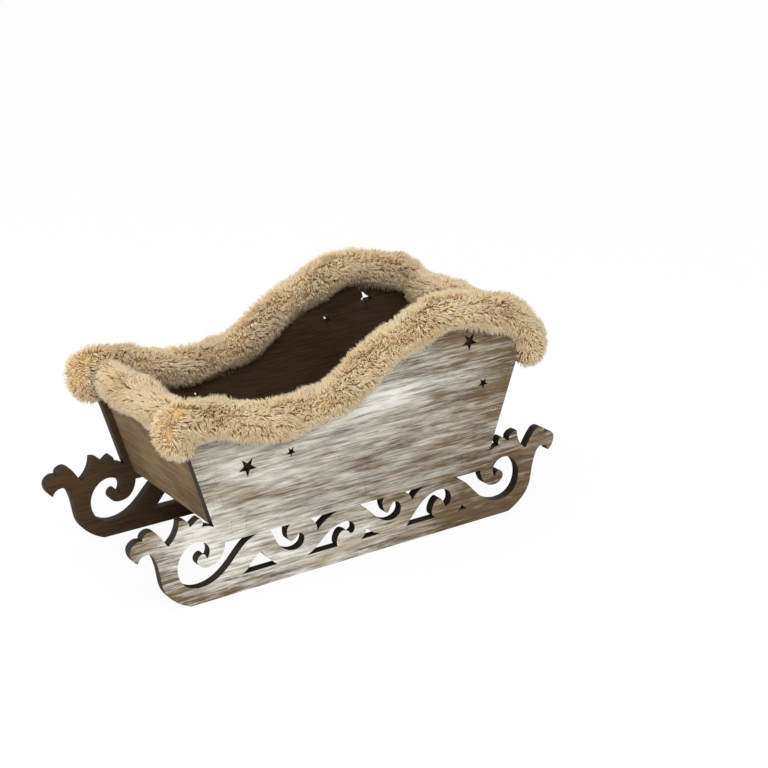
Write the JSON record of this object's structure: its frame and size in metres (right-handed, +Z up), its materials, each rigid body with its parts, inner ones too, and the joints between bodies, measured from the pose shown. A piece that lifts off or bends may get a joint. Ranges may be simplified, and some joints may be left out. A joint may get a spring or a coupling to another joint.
{
  "type": "decorative wooden sleigh",
  "caption": "Small decorative plywood sleigh with scroll-cut runners, star cut-outs, an open load space and a plush trim round its rim.",
  "frame": {"origin": "on the floor under the middle of the sleigh", "axes": "+Z up, -Y to the front (the low nose), +X to the sleigh's left"},
  "size_m": [0.122, 0.2832, 0.1415],
  "materials": {
    "washed_plywood": "whitewash dry-brushed over brown stain",
    "brown_plywood": "brown stain, matt",
    "plush": "soft tufted pile"
  },
  "bodies": {
    "root": {"left_side": "washed_plywood", "right_side": "washed_plywood", "left_star": "washed_plywood", "front_panel": "brown_plywood", "rear_panel": "brown_plywood", "bottom_panel": "brown_plywood", "left_fur": "plush", "right_fur": "plush", "front_fur": "plush", "rear_fur": "plush"}
  },
  "joints": []
}
